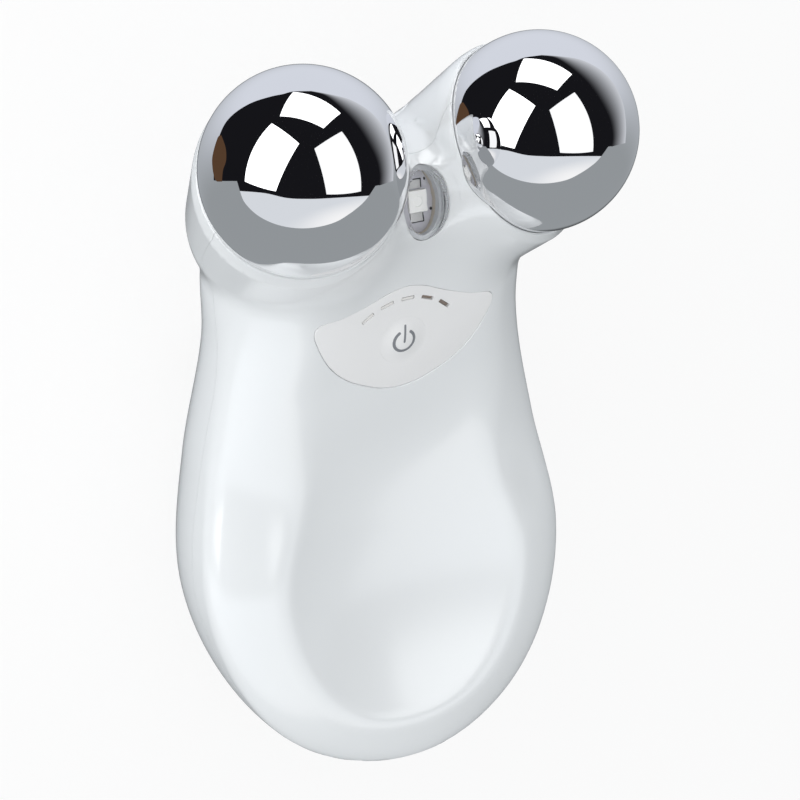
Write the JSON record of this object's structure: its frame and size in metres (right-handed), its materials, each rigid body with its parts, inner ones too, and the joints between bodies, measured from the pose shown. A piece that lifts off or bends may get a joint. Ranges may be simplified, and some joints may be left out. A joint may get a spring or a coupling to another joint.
{
  "type": "facial toning device",
  "caption": "Handheld facial toner: egg-shaped grip with a palm scoop, power button on a leaf panel and two mirror balls in cups on short arms beside a small lens.",
  "frame": {"origin": "on the floor under the middle of the outline, the device lying on its back", "axes": "+X to the device's right, +Y from the grip's tip to the ball electrodes, +Z out of the front face"},
  "size_m": [0.0674, 0.1122, 0.0595],
  "materials": {
    "pearl_plastic": "pearl white, gloss",
    "pearl_plastic_rear": "pearl white, gloss",
    "ball_mirror": "mirror-bright plated shell",
    "brass_fitting": "plain brass",
    "seal_rubber": "matte",
    "screw_steel": "plain steel",
    "panel_plastic": "light silver-white, gloss",
    "button_plastic": "pearl white, gloss",
    "symbol_grey": "printed grey",
    "dark_plastic": "moulded",
    "guide_clear": "translucent",
    "led_package": "white package with pale phosphor",
    "board_green": "solder mask",
    "lens_clear": "clear, polished",
    "reflector_plastic": "grey-beige",
    "led_board_white": "white solder mask",
    "coil_dark": "ferrite",
    "capacitor_metal": "drawn can",
    "cell_metal": "sleeved can",
    "cradle_plastic": "foam-lined cradle",
    "lead_red": "PVC",
    "lead_black": "PVC",
    "lead_white": "PVC",
    "ribbon_amber": "polyimide",
    "plug_rubber": "white, matte",
    "rest_plate_plastic": "satin"
  },
  "bodies": {
    "device": {"front_housing": "pearl_plastic", "rear_housing": "pearl_plastic_rear", "ball_electrode_left": "ball_mirror", "ball_electrode_right": "ball_mirror", "ball_neck_left": "brass_fitting", "ball_neck_right": "brass_fitting", "neck_seals": "seal_rubber", "contact_rings": "brass_fitting", "contact_screws": "screw_steel", "control_panel": "panel_plastic", "tact_switch": "dark_plastic", "level_light_guides": "guide_clear", "level_leds": "led_package", "control_board": "board_green", "centre_lens": "lens_clear", "lens_reflector": "reflector_plastic", "treatment_led": "led_package", "led_board": "led_board_white", "main_board": "board_green", "controller_chip": "dark_plastic", "charge_chip": "dark_plastic", "boost_coil": "coil_dark", "capacitors": "capacitor_metal", "buzzer": "dark_plastic", "battery_cell": "cell_metal", "battery_cradle": "cradle_plastic", "charge_jack": "dark_plastic", "electrode_leads": "lead_red", "power_leads": "lead_black", "led_leads": "lead_white", "board_ribbon": "ribbon_amber", "housing_screws": "screw_steel", "screw_plugs": "plug_rubber", "rest_plate": "rest_plate_plastic"},
    "button": {"power_button": "button_plastic", "power_symbol": "symbol_grey", "switch_plunger": "dark_plastic"}
  },
  "joints": [
    {"name": "power_press", "type": "slide", "parent": "device", "child": "button", "axis": [0, 0.3156, -0.9489], "range_m": [0, 0.0004], "stiffness_N_per_m": 800, "springref_m": -0.0002}
  ]
}
